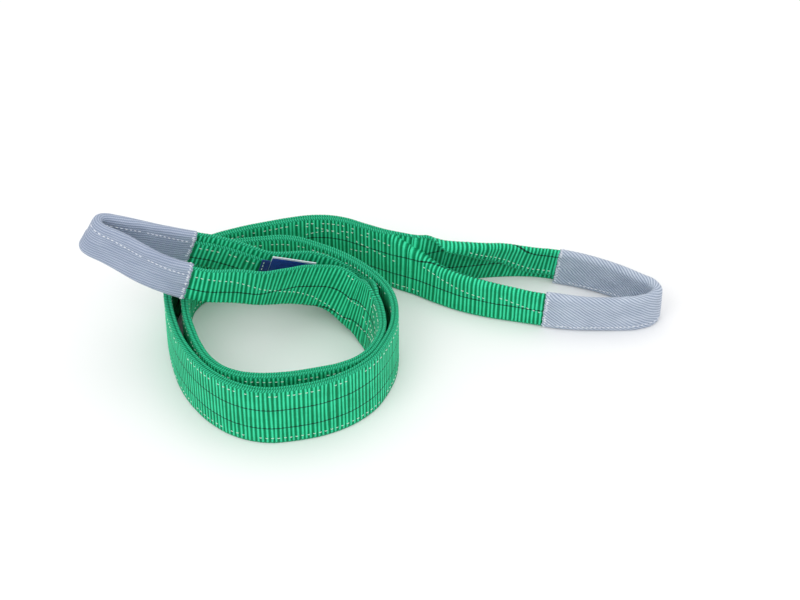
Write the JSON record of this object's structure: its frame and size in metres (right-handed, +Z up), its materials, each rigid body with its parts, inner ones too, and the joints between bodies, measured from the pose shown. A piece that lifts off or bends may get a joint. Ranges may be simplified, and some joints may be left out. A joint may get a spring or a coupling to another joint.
{
  "type": "flat web sling",
  "caption": "Green two-ply lifting sling of flat woven web with a sleeved, folded eye at each end and a sewn-in label, lying in a loose coil.",
  "frame": {"origin": "centre of the coiled sling's footprint, on the floor it lies on", "axes": "+Z up; +X from the left lifting eye to the right one; +Y away from the open side of the coil"},
  "size_m": [0.4904, 0.2279, 0.1295],
  "materials": {
    "web": "green woven polyester web with ribs across its width and two dark marker threads",
    "sleeve": "blue-grey twill woven polyester sleeve",
    "thread": "white polyester sewing thread",
    "label_blue": "blue coated fabric label, blank",
    "label_tab": "folded sewn-in end of the label",
    "label_white": "white woven backing of the label"
  },
  "bodies": {
    "coil": {"ring_outer_ply": "web", "ring_inner_ply": "web", "ring_edge_stitching": "thread", "left_splice_stitching": "thread", "left_eye_near_leg": "web", "left_eye_far_leg": "web", "label_tab": "label_tab", "label_stitching": "thread"},
    "tail": {"tail_outer_ply": "web", "tail_inner_ply": "web", "tail_edge_stitching": "thread", "right_splice_stitching": "thread"},
    "right_eye": {"right_eye_web": "web", "right_eye_sleeve": "sleeve", "right_sleeve_seam": "thread", "right_sleeve_mouth_stitching": "thread"},
    "left_eye": {"left_eye_web": "web", "left_eye_sleeve": "sleeve", "left_sleeve_seam": "thread", "left_sleeve_mouth_stitching": "thread"},
    "label": {"label_face": "label_blue", "label_backing": "label_white"}
  },
  "joints": [
    {"name": "tail_swing", "type": "hinge", "parent": "coil", "child": "tail", "pos_m": [-0.02986, 0.10607, 0], "axis": [0, 0, 1], "range_deg": [-12, 40]},
    {"name": "right_eye_swing", "type": "hinge", "parent": "tail", "child": "right_eye", "pos_m": [0.02505, 0.0813, 0], "axis": [0, 0, 1], "range_deg": [-15, 30]},
    {"name": "left_eye_swing", "type": "hinge", "parent": "coil", "child": "left_eye", "pos_m": [-0.15645, 0.0175, 0.061], "axis": [0, 0, 1], "range_deg": [-15, 15]},
    {"name": "label_flap", "type": "hinge", "parent": "coil", "child": "label", "pos_m": [-0.0973, 0.038, 0.047], "axis": [0.3052, 0.0483, 0.9511], "range_deg": [-1, 4]}
  ]
}
